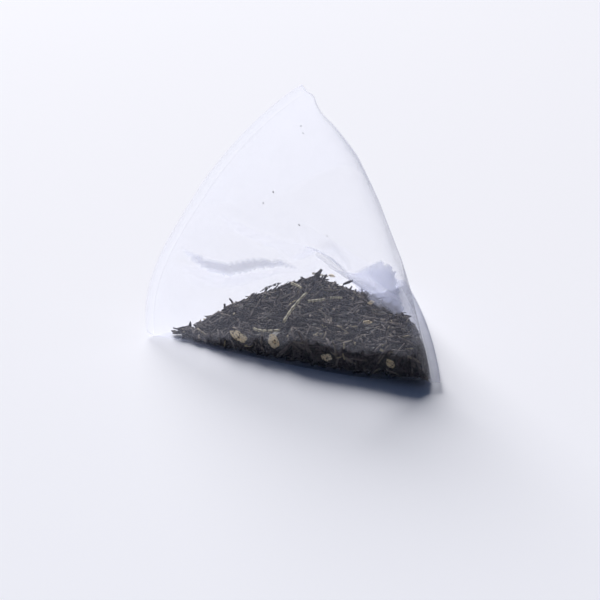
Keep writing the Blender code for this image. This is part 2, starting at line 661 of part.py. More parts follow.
def on_tea_surface(share, down):
    """A place on the outside of the tea, this far down from the front's middle, and the direction
    outwards there."""
    columns = girth_shares()
    column = 2 * (len(columns) - 1) - np.interp(down, columns, np.arange(len(columns)))

    def place(at_share, at_column):
        ring = film_ring(at_share, TEA_INSET)
        before = math.floor(at_column)
        return ring[before] + (ring[before + 1] - ring[before]) * (at_column - before)

    along = place(share + SHARE_STEP, column) - place(share - SHARE_STEP, column)
    around = place(share, column + 1.0) - place(share, column - 1.0)
    return place(share, column), unit(np.cross(along, around))


def build_front_chips(look, heap, tea_space):
    """Chips that lie against the front film, each in a pocket of the heap."""
    pockets, pocket_faces = [], []
    for name, share, down, sizes, heading in FRONT_CHIPS:
        middle, out = on_tea_surface(share, down)
        axes = chip_axes(out, heading)
        vertices, faces = pebble(name, sizes, axes, middle)
        cut(add_object(name, vertices, faces, look), tea_space, "INTERSECT")
        vertices, faces = pebble(name, sizes, axes, middle, extra=SEAT_GAP)
        first = sum(len(p) for p in pockets)
        pockets.append(vertices)
        pocket_faces += [tuple(v + first for v in face) for face in faces]
    pocket = add_object("pocket_guide", np.concatenate(pockets), pocket_faces, look)
    cut(heap, as_guide(pocket), "DIFFERENCE")


def centre_on(pouch):
    """Moves every object so that the origin is under the middle of the pouch's box, on the floor."""
    corners = np.array([tuple(vertex.co) for vertex in pouch.data.vertices])
    middle = (corners.min(axis=0) + corners.max(axis=0)) / 2
    for made in bpy.data.objects:
        made.location = (-middle[0], -middle[1], 0.0)


def main():
    for old in list(bpy.data.objects):
        bpy.data.objects.remove(old, do_unlink=True)
    film = material("mesh_film", FILM_COLOUR, 0.55, alpha=0.4)
    leaf = material("tea_leaf", LEAF_COLOUR, 0.85)
    curl = material("curled_leaf", CURL_COLOUR, 0.75)
    stalk = material("tea_stem", STEM_COLOUR, 0.7)
    chip = material("stalk_chip", CHIP_COLOUR, 0.7)
    pouch = build_pouch(film)
    tea_space = build_tea_space()
    heap = build_heap(leaf, tea_space)
    build_front_chips(chip, heap, tea_space)
    for values in STEMS:
        build_stem(stalk, *values)
    for values in CURLS:
        build_curl(curl, *values)
    for values in CHIPS:
        build_chip(chip, *values)
    centre_on(pouch)


main()
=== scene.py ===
"""Pyramid tea bag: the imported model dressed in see-through mesh film with loose leaf tea lying in it.

The film is one folded and welded sheet with a real wall. The leaf is a bed of thousands of rolled
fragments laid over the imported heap. Lengths are written in millimetres and turned into metres where
the meshes are made. +Z is up and -Y is the front.
"""
import math

import bpy
import numpy as np
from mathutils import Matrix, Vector
from mathutils.bvhtree import BVHTree


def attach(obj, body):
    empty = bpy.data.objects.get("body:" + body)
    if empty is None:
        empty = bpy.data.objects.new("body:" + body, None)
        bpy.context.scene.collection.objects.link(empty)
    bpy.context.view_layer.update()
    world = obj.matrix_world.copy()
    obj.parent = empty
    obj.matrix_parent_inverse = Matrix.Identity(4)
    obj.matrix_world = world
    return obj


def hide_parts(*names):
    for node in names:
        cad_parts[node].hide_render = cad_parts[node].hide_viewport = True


MM = 0.001

# Camera, as fitted to the photograph
CAMERA_PLACE = (-13.31, -298.77, 115.6)
CAMERA_PITCH = 20.0
CAMERA_HEADING = 3.0
CAMERA_LENS = 100.0
CAMERA_SENSOR = 36.0
PICTURE = 600

# The film: a strip rolled into a tube with a lap seam, welded flat at both ends at right angles
WALL = 0.10
TUBE_WIDTH = 58.0
FILM_SLACK = 1.28
LAP_START = 2.0
LAP_WIDTH = 4.0
FIN_WIDTH = 1.6
STANDING_CHORD = 57.1
STANDING_ANGLE = math.radians(58.1)
REACH = 51.6
STANDING_BOW = 6.0
FLOOR_BOW = 1.4
CORNER_LIFT = 1.0
PACKED_LIFT = 2.0
LIFT_START = 0.62
LIFT_SIDE = 0.35
RIGHT_SWELL = ((0.0, 0.0), (0.10, -2.0), (0.22, -0.4), (0.35, 1.2), (0.55, 2.2), (0.80, 2.2), (1.0, 0.0))
REST_BULGE = 1.25
END_ROUNDNESS = 2.0
LOWER_ROUNDNESS = 6.5
UPPER_ROUNDNESS = 3.1
LOWER_BOW_POWER = 3.5
UPPER_BOW_POWER = 2.0
MIDDLE_REACH = 5.2
SWELL_SMOOTHING = 0.06

# Creases in the back of the film: points are (share of the tube's length, distance across from the
# middle of the back towards the apex, depth); then come how fast the film falls away on the apex side
# and on the floor side, and the radius of the crease.
CREASES = (
    (((0.02, -9.0, 0.0), (0.10, -9.0, 1.4), (0.22, -8.5, 2.2), (0.37, -6.5, 3.0), (0.50, -6.0, 2.0),
      (0.61, -9.0, 0.0)), 0.5, 0.45, 1.5),
    (((0.05, 0.5, 0.0), (0.107, 0.3, 1.0), (0.185, 0.2, 2.2), (0.239, 0.2, 3.0), (0.311, 0.8, 4.4),
      (0.41, 2.0, 6.5)), 0.62, 0.80, 0.3),
    (((0.41, 2.0, 6.5), (0.52, 2.0, 8.4), (0.58, 2.0, 13.5), (0.67, 2.0, 17.0), (0.76, 2.0, 14.5),
      (0.86, 2.0, 7.0), (0.94, 2.0, 0.0)), 0.78, 3.2, 0.25),
)
# Sharp small folds on top of those, with how much the film gathers up on their apex side; the gathering
# counts as more layers of film, partly real overlap and partly painted shade under the folds
FOLDS = (
    (((0.014, -9.5, 0.1), (0.045, -10.1, 1.2), (0.08, -10.2, 2.3), (0.14, -10.3, 2.8), (0.198, -9.7, 2.8),
      (0.25, -8.0, 2.6), (0.297, -6.5, 2.2), (0.39, -4.9, 1.2), (0.535, -5.2, 0.0)), 2.8, 0.5, 0.15, 4.6),
    (((0.314, 5.7, 0.2), (0.37, 3.8, 0.8), (0.429, 1.8, 0.3)), 1.0, 1.0, 0.15, 0.5),
    (((0.415, 1.8, 0.0), (0.475, 4.0, 1.3), (0.54, 3.2, 0.9), (0.60, 2.2, 0.0)), 1.0, 1.6, 0.15, 1.0),
)
BUNCH_AND_SHADE_EASE = 0.5             # depth over which the gathering and its painted shade fade out at a fold's edge
BUNCH_AND_SHADE_DEPTH = 1.5            # depth at which a fold's gathering and painted shade are full
WELD_EASE = 6.0              # how gently creases may start at the welds: distance squared over this
DENT_DIRECTION = (0.20, -0.94, -0.28)

# The top of the standing weld: how far it is drawn in, over which share of the tube's length, and how
# far its fin flares out again
APEX_DROP = 1.4
APEX_EASE = 0.08
APEX_FLARE = 0.75
APEX_POWER = 8

# Fineness of the film
FILM_ROWS = 150
SIDE_COLUMNS = 56
FLAT_COLUMNS = 20
UPPER_COLUMNS = 56
ARC_STEPS = 400
GIRTH_ROUNDS = 4             # how often each ring is sized again to the strip's girth
FAR_AWAY = 1000.0            # place round the ring given to points that no crease reaches
INNER_INSET = WALL / 0.75    # inset of the inner rings, which leaves about WALL across slanting faces

# The leaf
LEAF_SIDES = 5
LEAF_RINGS = 6
LEAVES_PER_PIECE = 2860
FILM_CLEARANCE = 0.07        # least gap between leaf and film
LINE_CLEARANCE = 0.22        # the same for the middle line of a strip
CORE_CLEARANCE = 0.3         # the same for the heap that the leaf is laid on
NEAR_FILM = 0.8              # within this distance a point is put back by the nearest place on the film
LOOSE_GAP = 0.5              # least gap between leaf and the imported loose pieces
START_DEPTH = 0.4            # how far inside the heap the rays that keep leaf inside start
FREE_FROM = 0.7              # distance from the film at which the heap's surface starts to be free
FREE_RUN = 1.6
CORE_SHRINK = 0.94
CORE_FLOOR = 0.8

# The heap's shape here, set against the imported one: settled where it is high,
SETTLE = 0.9
SETTLE_FROM = 0.6
SETTLE_TO = 3.5
# raised where it is pressed against the front film,
FRONT_RAISE = 1.9
FRONT_FROM = -2.0
FRONT_RUN = 14.0
FRONT_FULL = 3.0
FRONT_UNEVEN = 0.12
# drawn out to a thin tip on the left,
TIP_FROM = -13.0
TIP_RUN = 10.5
TIP_BACK = 2.4
TIP_THIN = 0.3
# and filling the front corner of the floor weld
CORNER_FILL = (0.8, 0.0, -0.3)
# How much of the heap's run from the front is kept, by the place along X
BACK_KEEP = ((6.0, 1.0), (14.0, 0.92), (18.0, 0.78), (21.0, 0.68), (24.0, 0.56), (27.0, 0.50))
KEEP_LOWERS = 0.5            # how much lower the heap is where its run is cut

# Tints: paler where the heap is high, which paints light on its top, and in blotches
HIGH_FROM = 3.5
HIGH_RUN = 4.5
HIGH_PAINTED_LIGHT = 0.13
BLOTCH = 0.09
BLOTCH_SIZE = 3.2
STANDING_TINT = 0.12
SPECK_TINT = 0.3
# Number, length, width, lift over the heap, tilt on the free surface, and tint of each kind of leaf:
# crushed bits, needles, and pale stalk bits
LEAF_KINDS = (
    (4300, (0.8, 2.4), (0.35, 0.85), (-0.35, 0.05), 0.15, (0.0, 0.36)),
    (2700, (2.0, 4.8), (0.34, 0.76), (-0.05, 0.45), 0.14, (0.04, 0.66)),
    (160, (0.7, 2.2), (0.30, 0.70), (0.15, 0.45), 0.12, (0.66, 1.0)),
)
# Where the film looks crumpled over itself beside the heap, in pixels of the photograph, with its jagged
# right edge, the light ridge that crosses it, and how many more layers it counts as there
VEIL_OUTLINE = (
    (346.0, 276.0), (362.0, 270.0), (377.0, 262.0), (382.0, 262.0), (388.0, 270.0), (386.0, 264.0),
    (392.0, 267.0), (392.0, 272.0), (396.0, 272.0), (394.0, 277.0), (397.0, 281.0), (395.0, 286.0),
    (399.0, 290.0), (397.0, 294.0), (401.0, 300.0), (401.0, 306.0), (404.0, 308.0), (401.0, 314.0),
    (392.0, 313.0), (375.0, 302.0), (354.0, 285.0),
)
VEIL_RIDGE = ((336.0, 264.0), (347.0, 272.0), (370.0, 283.0), (402.0, 301.0))
VEIL_LAYERS = 5.5
VEIL_FADE = 26.0
RIDGE_THINS = 0.7
RIDGE_WIDTH = 2.2
# Lone specks of dust on the film
FILM_SPECKS = ((273.0, 192.0), (301.0, 126.0), (303.0, 133.0), (327.0, 236.0), (299.0, 225.0),
               (263.0, 203.0))
SPECK_SPAN = (0.22, 0.42)
SPECK_WIDTH = (0.14, 0.24)
SPECK_GAP = 0.08
# Leaves standing out of the crest: foot and tip in pixels of the photograph, and width
STANDING_LEAVES = (
    ((311.0, 285.0), (321.7, 269.3), 1.05),
    ((307.5, 284.0), (301.7, 276.7), 0.55),
    ((321.5, 283.0), (326.7, 274.5), 0.60),
    ((314.0, 286.0), (313.0, 276.0), 0.70),
    ((240.0, 302.0), (256.0, 298.5), 0.85),
    ((258.0, 300.0), (252.8, 294.0), 0.50),
    ((275.0, 290.5), (290.0, 283.3), 0.60),
    ((214.0, 316.0), (226.0, 312.0), 0.60),
    ((343.0, 284.5), (353.0, 280.5), 0.60),
    ((297.0, 283.0), (303.0, 278.0), 0.50),
)
STANDING_NEAR = 0.8          # how near to its ray the heap is looked at for the depth of a leaf's foot
STANDING_SINK = 0.5
# Random draws: the strips of the bed, the standing leaves, the specks, and the two smooth noises
BED_SEED = 31
STANDING_SEED = 41
SPECK_SEED = 51
FRONT_SEED = 3
BLOTCH_SEED = 5
NOISE_CELLS = 64

# Tones
FLOOR_COLOUR = (0.906, 0.908, 0.964)
FLOOR_PAINTED_SHADE = (0.820, 0.880, 1.000)
# Painted shade on the paper, darker and bluer to the front and a little lighter to the right: how far the
# paper goes from FLOOR_COLOUR to the shade colour above it, the ends, in metres, and the shares there
PAINTED_SHADE_ALONG_Y = ((0.04, -0.11), (0.0, 0.06))
PAINTED_SHADE_ALONG_X = ((0.0, 0.13), (-0.02, -0.08))
SHADE_MOTTLE = (0.0, 0.1)
FLOOR_HALF = 4.0
FLOOR_DROP = 0.00006
SUN_ENERGY = 6.1
SUN_ANGLE = 30.0
SUN_TINT = (1.0, 0.985, 0.965)
TOWARDS_SUN = (-0.17, 0.88, 0.455)
FILL_TINT = (0.30, 0.50, 0.98)
FILL_STRENGTH = 0.07
CLEAR_BOUNCES = 40           # surfaces of film that a ray may pass
FILM_COLOUR = (0.88, 0.905, 0.97)
FILM_THROUGH = (0.61, 0.635, 0.79)
FILM_BODY_SHARE = 0.35       # share of the film's body that reflects; the rest scatters light through
SHADE_OF_LAYER = 0.05        # share of the light that one surface of the film stops, seen square on
THREAD_PITCH = 0.24
THREAD_RANGE = (0.9, 1.08)
CLOUD_RANGE = (0.9, 1.1)
LAP_FADE = (0.34, 0.50)      # shares of the tube's length between which the lap comes out
LAP_FAINT = 0.15
LEAST_COSINE = 0.20
GRAIN_DETAIL = 3.0
GRAIN_ROUGHNESS = 0.65
LEAF_TONES = ((0.0, (0.016, 0.012, 0.013)), (0.22, (0.055, 0.043, 0.042)), (0.42, (0.135, 0.112, 0.102)),
              (0.62, (0.225, 0.190, 0.145)), (0.80, (0.360, 0.300, 0.185)), (1.0, (0.560, 0.470, 0.290)))


def unit(vector):
    vector = np.asarray(vector, float)
    return vector / np.linalg.norm(vector)


ALONG_STANDING = np.array([math.cos(STANDING_ANGLE), 0.0, math.sin(STANDING_ANGLE)])
OUT_STANDING = np.array([-math.sin(STANDING_ANGLE), 0.0, math.cos(STANDING_ANGLE)])
ALONG_FLOOR = np.array([0.0, 1.0, 0.0])
OUT_FLOOR = np.array([1.0, 0.0, 0.0])
STANDING_MIDDLE = ALONG_STANDING * STANDING_CHORD / 2 - OUT_STANDING * FIN_WIDTH
FLOOR_MIDDLE = np.array([REACH, 0.0, 0.25])
TUBE_AXIS = unit(FLOOR_MIDDLE - STANDING_MIDDLE)
TUBE_LENGTH = FILM_SLACK * np.linalg.norm(FLOOR_MIDDLE - STANDING_MIDDLE)
RIGHT_FACE_OUT = np.array([-TUBE_AXIS[2], 0.0, TUBE_AXIS[0]])
DENT_IN = unit(DENT_DIRECTION)


# Smooth noise on a plane, the same on every run

def noise(x, y, seed):
    """Values between -1 and 1 that change smoothly from one unit square to the next."""
    table = np.random.default_rng(seed).uniform(-1.0, 1.0, (NOISE_CELLS, NOISE_CELLS))
    i, j = np.floor(x).astype(int), np.floor(y).astype(int)
    u, v = x - i, y - j
    u, v = u * u * (3 - 2 * u), v * v * (3 - 2 * v)
    i, j = i % NOISE_CELLS, j % NOISE_CELLS
    after_i, after_j = (i + 1) % NOISE_CELLS, (j + 1) % NOISE_CELLS
    low = table[i, j] * (1 - u) + table[after_i, j] * u
    high = table[i, after_j] * (1 - u) + table[after_i, after_j] * u
    return low * (1 - v) + high * v


# Scene basics

def setup_camera():
    camera = bpy.data.cameras.new("camera")
    camera.lens = CAMERA_LENS
    camera.sensor_width = CAMERA_SENSOR
    camera.clip_start = 0.01
    camera.clip_end = 20.0
    made = bpy.data.objects.new("camera", camera)
    bpy.context.scene.collection.objects.link(made)
    made.location = Vector(CAMERA_PLACE) * MM
    made.rotation_euler = (math.radians(90.0 - CAMERA_PITCH), 0.0, -math.radians(CAMERA_HEADING))
    bpy.context.scene.camera = made


def camera_axes():
    """The camera's right, up and forward directions, and its focal length in pixels."""
    pitch, heading = math.radians(CAMERA_PITCH), math.radians(CAMERA_HEADING)
    forward = np.array([math.sin(heading) * math.cos(pitch), math.cos(heading) * math.cos(pitch),
                        -math.sin(pitch)])
    right = np.array([math.cos(heading), -math.sin(heading), 0.0])
    return right, np.cross(right, forward), forward, CAMERA_LENS / CAMERA_SENSOR * PICTURE


def pixel_ray(pixel):
    """Start and direction, in millimetres, of the ray through a pixel of the photograph."""
    right, up, forward, lens = camera_axes()
    offset = (pixel[0] - PICTURE / 2, PICTURE / 2 - pixel[1])
    return np.array(CAMERA_PLACE), unit(forward * lens + right * offset[0] + up * offset[1])


def picture_places(points):
    """Pixels of the photograph at which points, in millimetres, are seen."""
    right, up, forward, lens = camera_axes()
    off = points - np.array(CAMERA_PLACE)
    return PICTURE / 2 + np.stack([off @ right, -(off @ up)], axis=1) * (lens / (off @ forward))[:, None]


def in_outline(places, outline):
    """Which of the places lie inside a closed outline."""
    inside = np.zeros(len(places), bool)
    for (x0, y0), (x1, y1) in zip(outline, outline[1:] + outline[:1]):
        if y0 != y1:
            crosses = (y0 > places[:, 1]) != (y1 > places[:, 1])
            inside ^= crosses & (places[:, 0] < x0 + (places[:, 1] - y0) * (x1 - x0) / (y1 - y0))
    return inside


def from_line(places, line):
    """Distance of each place from a line of several points."""
    nearest = np.full(len(places), np.inf)
    for start, end in zip(np.array(line[:-1]), np.array(line[1:])):
        run = end - start
        share = np.clip((places - start) @ run / (run @ run), 0.0, 1.0)
        nearest = np.minimum(nearest, np.linalg.norm(places - start - share[:, None] * run, axis=1))
    return nearest


def veil(points):
    """How many more layers of film there are where it is crumpled over itself beside the heap."""
    places = picture_places(points)
    inside = in_outline(places, VEIL_OUTLINE)
    fade = np.clip((places[:, 0] - VEIL_OUTLINE[0][0]) / VEIL_FADE, 0.0, 1.0)
    ridge = 1.0 - RIDGE_THINS * np.exp(-(from_line(places, VEIL_RIDGE) / RIDGE_WIDTH) ** 2)
    return VEIL_LAYERS * inside * fade * ridge


def nodes_of(name):
    made = bpy.data.materials.new(name)
    made.use_nodes = True
    tree = made.node_tree
    tree.nodes.clear()
    return made, tree


def add_node(tree, kind, inputs=None, **settings):
    node = tree.nodes.new(kind)
    for key, value in settings.items():
        setattr(node, key, value)
    for key, value in (inputs or {}).items():
        if isinstance(value, bpy.types.NodeSocket):
            tree.links.new(value, node.inputs[key])
        else:
            node.inputs[key].default_value = value
    return node


def math_node(tree, operation, first, second=0.0):
    return add_node(tree, "ShaderNodeMath", {0: first, 1: second}, operation=operation).outputs[0]


def range_node(tree, value, ends, to_ends, **settings):
    """The value, moved from one range to another."""
    return add_node(tree, "ShaderNodeMapRange", {
        "Value": value, "From Min": ends[0], "From Max": ends[1], "To Min": to_ends[0],
        "To Max": to_ends[1]}, **settings).outputs[0]


def to_surface(tree, shader, kind="ShaderNodeOutputMaterial"):
    out = add_node(tree, kind)
    tree.links.new(shader.outputs[0], out.inputs["Surface"])


def floor_material():
    """Pale paper with painted shade: darker and bluer to the front, a little lighter to the right; faintly
    mottled.
    """
    made, tree = nodes_of("floor_paper")
    place = add_node(tree, "ShaderNodeTexCoord").outputs["Object"]
    split = add_node(tree, "ShaderNodeSeparateXYZ", {0: place})
    front = range_node(tree, split.outputs[1], *PAINTED_SHADE_ALONG_Y, interpolation_type="SMOOTHSTEP")
    right = range_node(tree, split.outputs[0], *PAINTED_SHADE_ALONG_X, interpolation_type="SMOOTHSTEP")
    mottle = add_node(tree, "ShaderNodeTexNoise", {"Vector": place, "Scale": 5.0, "Detail": 1.0})
    uneven = range_node(tree, mottle.outputs["Fac"], (0.0, 1.0), SHADE_MOTTLE)
    # Share of painted shade: more to the front, less to the right, plus the faint mottle
    share = math_node(tree, "ADD", math_node(tree, "ADD", front, right), uneven)
    shade = add_node(tree, "ShaderNodeMix", data_type="RGBA")
    tree.links.new(share, shade.inputs["Factor"])
    shade.inputs["A"].default_value = (*FLOOR_COLOUR, 1.0)
    shade.inputs["B"].default_value = (*FLOOR_PAINTED_SHADE, 1.0)
    to_surface(tree, add_node(tree, "ShaderNodeBsdfPrincipled", {
        "Base Color": shade.outputs["Result"], "Roughness": 0.9, "Specular IOR Level": 0.1}))
    return made


def setup_floor():
    mesh = bpy.data.meshes.new("floor")
    corners = [(x * FLOOR_HALF, y * FLOOR_HALF, -FLOOR_DROP)
               for x, y in ((-1, -1), (1, -1), (1, 1), (-1, 1))]
    mesh.from_pydata(corners, [], [(0, 1, 2, 3)])
    mesh.materials.append(floor_material())
    made = bpy.data.objects.new("floor", mesh)
    bpy.context.scene.collection.objects.link(made)


def setup_light():
    """A broad low sun from behind and a little to the left, faint blue fill, and white beyond the floor."""
    sun = bpy.data.lights.new("window", "SUN")
    sun.energy = SUN_ENERGY
    sun.angle = math.radians(SUN_ANGLE)
    sun.color = SUN_TINT
    made = bpy.data.objects.new("window", sun)
    bpy.context.scene.collection.objects.link(made)
    made.rotation_euler = Vector(TOWARDS_SUN).normalized().to_track_quat("Z", "Y").to_euler()

    world = bpy.data.worlds.new("room")
    bpy.context.scene.world = world
    world.use_nodes = True
    tree = world.node_tree
    tree.nodes.clear()
    path = add_node(tree, "ShaderNodeLightPath")
    seen = math_node(tree, "MAXIMUM", path.outputs["Is Camera Ray"], path.outputs["Is Glossy Ray"])
    fill = add_node(tree, "ShaderNodeBackground", {"Color": (*FILL_TINT, 1.0), "Strength": FILL_STRENGTH})
    white = add_node(tree, "ShaderNodeBackground", {"Color": (*FLOOR_COLOUR, 1.0), "Strength": 1.0})
    mixed = add_node(tree, "ShaderNodeMixShader", {0: seen, 1: fill.outputs[0], 2: white.outputs[0]})
    to_surface(tree, mixed, "ShaderNodeOutputWorld")


# The film's surface

def arc(half_across, half_long, roundness, flat_at, side_columns, flat_columns):
    """Points from (0, half_long) to (half_across, 0), cut flat where the arc is flat_at away from the
    middle, and the arc's length. The corner of the flat is always the same column."""
    corner = math.asin(min(1.0, flat_at / half_across) ** (roundness / 2))
    turn = np.sort(np.append(np.linspace(0.0, math.pi / 2, ARC_STEPS), corner))
    p = np.minimum(half_across * np.sin(turn) ** (2 / roundness), flat_at)
    q = half_long * np.cos(turn) ** (2 / roundness)
    run = np.concatenate([[0.0], np.cumsum(np.hypot(np.diff(p), np.diff(q)))])
    bend = np.interp(corner, turn, run)
    columns = np.linspace(0.0, bend, side_columns + 1)
    if flat_columns:
        columns = np.concatenate([columns, np.linspace(bend, run[-1], flat_columns + 1)[1:]])
    return np.interp(columns, run, p), np.interp(columns, run, q), run[-1]


def swell(share):
    """How far the right face stands out at this share of the tube's length."""
    places, sizes = np.array(RIGHT_SWELL).T
    window = np.linspace(-1.0, 1.0, 9)
    weight = 1.0 + np.cos(window * math.pi)
    smooth = np.sum(np.interp(share + window * SWELL_SMOOTHING, places, sizes) * weight) / np.sum(weight)
    return smooth * min(1.0, share / SWELL_SMOOTHING, (1.0 - share) / SWELL_SMOOTHING)


def to_crease(share, across, points, apex_slope, floor_slope, radius):
    """For each segment of a crease: its depth next to each point, and the part the slopes take off."""
    along = share * TUBE_LENGTH
    points = [(start * TUBE_LENGTH, y, d) for start, y, d in points]
    for (x0, y0, d0), (x1, y1, d1) in zip(points[:-1], points[1:]):
        run_x, run_y = x1 - x0, y1 - y0
        t = np.clip(((along - x0) * run_x + (across - y0) * run_y) / (run_x ** 2 + run_y ** 2), 0.0, 1.0)
        off_x = along - x0 - t * run_x
        off_y = across - y0 - t * run_y
        slope = np.where(run_x * off_y - run_y * off_x > 0, apex_slope, floor_slope)
        off = np.sqrt(off_x ** 2 + off_y ** 2 + radius ** 2) - radius
        yield d0 + (d1 - d0) * t, slope * off, slope == apex_slope


def crease_depth(share, across):
    """Depth that the creases and folds press the film in, and how much it gathers up there; the gathering
    also paints shade under the folds.
    """
    depth, bunch_and_painted_shade = np.zeros_like(across), np.zeros_like(across)
    for crease in CREASES:
        for there, fall, _ in to_crease(share, across, *crease):
            depth = np.maximum(depth, there - fall)
    for *fold, bunched_and_painted_shade in FOLDS:
        more = np.zeros_like(across)
        for there, fall, apex_side in to_crease(share, across, *fold):
            more = np.maximum(more, there - fall)
            ease = np.clip((there - fall) / BUNCH_AND_SHADE_EASE, 0.0, 1.0) * np.clip(there / BUNCH_AND_SHADE_DEPTH, 0.0, 1.0)
            bunch_and_painted_shade = np.maximum(bunch_and_painted_shade, bunched_and_painted_shade * ease * apex_side)
        depth += more
    return np.minimum(depth, (min(share, 1.0 - share) * TUBE_LENGTH) ** 2 / WELD_EASE), bunch_and_painted_shade


def film_ring(share, inset):
    """One ring of the film at a share of the tube's length, and the distance round it of each point. It
    starts at the lap seam and runs round by the underside, the front and the right face."""
    centre = STANDING_MIDDLE * (1.0 - share) + FLOOR_MIDDLE * share
    middle = min(1.0, MIDDLE_REACH * share * (1.0 - share))
    lower = END_ROUNDNESS + (LOWER_ROUNDNESS - END_ROUNDNESS) * middle
    upper = END_ROUNDNESS + (UPPER_ROUNDNESS - END_ROUNDNESS) * middle
    to_floor = centre[2] / ALONG_STANDING[2]
    half_up = 2 * WALL + TUBE_WIDTH / 2 * (1.0 - share)
    half_side = 2 * WALL + TUBE_WIDTH / 2 * share
    half_girth = TUBE_WIDTH - (TUBE_WIDTH - STANDING_CHORD) * (1.0 - share) ** 2
    grow = 1.0
    for _ in range(GIRTH_ROUNDS):
        up, side = half_up * grow, half_side * grow
        low_p, low_q, low_run = arc(to_floor * REST_BULGE, side, lower, to_floor, SIDE_COLUMNS, FLAT_COLUMNS)
        up_p, up_q, up_run = arc(up, side, upper, up, UPPER_COLUMNS, 0)
        grow *= half_girth / (low_run + up_run)
    side_scale = (side - inset) / side
    floor_inset = inset / ALONG_STANDING[2]
    low = (to_floor - floor_inset) / to_floor
    high = (up - inset) / up
    p = np.concatenate([-low_p * low, -low_p[-2::-1] * low, up_p[1:] * high, up_p[-2:0:-1] * high])
    q = np.concatenate([low_q, -low_q[-2::-1], -up_q[1:], up_q[-2:0:-1]])
    height = np.where(p < 0, p / (to_floor - floor_inset), p / (up - inset))
    power = np.where(height < 0, LOWER_BOW_POWER, UPPER_BOW_POWER)
    bow = STANDING_BOW * (1.0 - np.abs(height) ** power) * (1.0 - share) ** 2
    ring = centre + p[:, None] * ALONG_STANDING + (q * side_scale)[:, None] * ALONG_FLOOR
    ring += bow[:, None] * OUT_STANDING
    ring += (swell(share) * ((1.0 + height) / 2) ** 2)[:, None] * RIGHT_FACE_OUT
    ring[:, 0] += FLOOR_BOW * (1.0 - (q / side) ** 2) * share ** 2
    low_round = np.concatenate([[0.0], np.cumsum(np.hypot(np.diff(low_p), np.diff(low_q)))])
    up_round = np.concatenate([[0.0], np.cumsum(np.hypot(np.diff(up_p), np.diff(up_q)))])
    back = np.full(len(p), FAR_AWAY)
    back[:len(low_p)] = -low_round
    back[-len(up_p) + 1:] = up_round[:0:-1]
    depth, bunch_and_painted_shade = crease_depth(share, back)
    ring += depth[:, None] * DENT_IN
    on_lap = np.abs(back - LAP_START - LAP_WIDTH / 2) < LAP_WIDTH / 2
    ring[on_lap & (inset == 0.0)] -= DENT_IN * WALL
    ring[:, 2] = np.maximum(ring[:, 2], inset)
    to_end = max(0.0, share - LIFT_START) / (1.0 - LIFT_START)
    to_corner = np.clip(-q * side_scale / side - LIFT_SIDE, 0.0, None) / (1.0 - LIFT_SIDE)
    ring[:, 2] += CORNER_LIFT * to_end ** 2 * to_corner ** 2
    round_it = np.concatenate([low_round, low_run + low_run - low_round[-2::-1],
                               2 * low_run + up_round[1:], 2 * low_run + 2 * up_run - up_round[-2:0:-1]])
    # The top of the standing weld is drawn in a little.
    drawn = APEX_DROP * math.exp(-share / APEX_EASE) * np.clip(height, 0.0, 1.0) ** APEX_POWER
    ring -= drawn[:, None] * ALONG_STANDING
    return ring, round_it, bunch_and_painted_shade


def film_rings(inset):
    shares = np.linspace(0.0, 1.0, FILM_ROWS + 1)
    rings, rounds, bunches_and_painted_shade = zip(*(film_ring(share, inset) for share in shares))
    return list(rings), list(rounds), list(bunches_and_painted_shade), shares * TUBE_LENGTH


def with_fins(rings):
    """The outer rings with one more at each end, where the welded film stands out."""
    upper = np.clip((rings[0] - STANDING_MIDDLE) @ ALONG_STANDING / (STANDING_CHORD / 2), 0.0, 1.0)
    flare = APEX_FLARE * upper ** APEX_POWER
    standing = rings[0] + OUT_STANDING * FIN_WIDTH + flare[:, None] * ALONG_STANDING
    return [standing] + rings + [rings[-1] + OUT_FLOOR * FIN_WIDTH]


def film_shift():
    """The move that puts the middle of the film's box over the origin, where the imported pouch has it."""
    places = np.concatenate(with_fins(film_rings(0.0)[0]))
    middle = (places.min(axis=0) + places.max(axis=0)) / 2
    return np.array([-middle[0], -middle[1], 0.0])


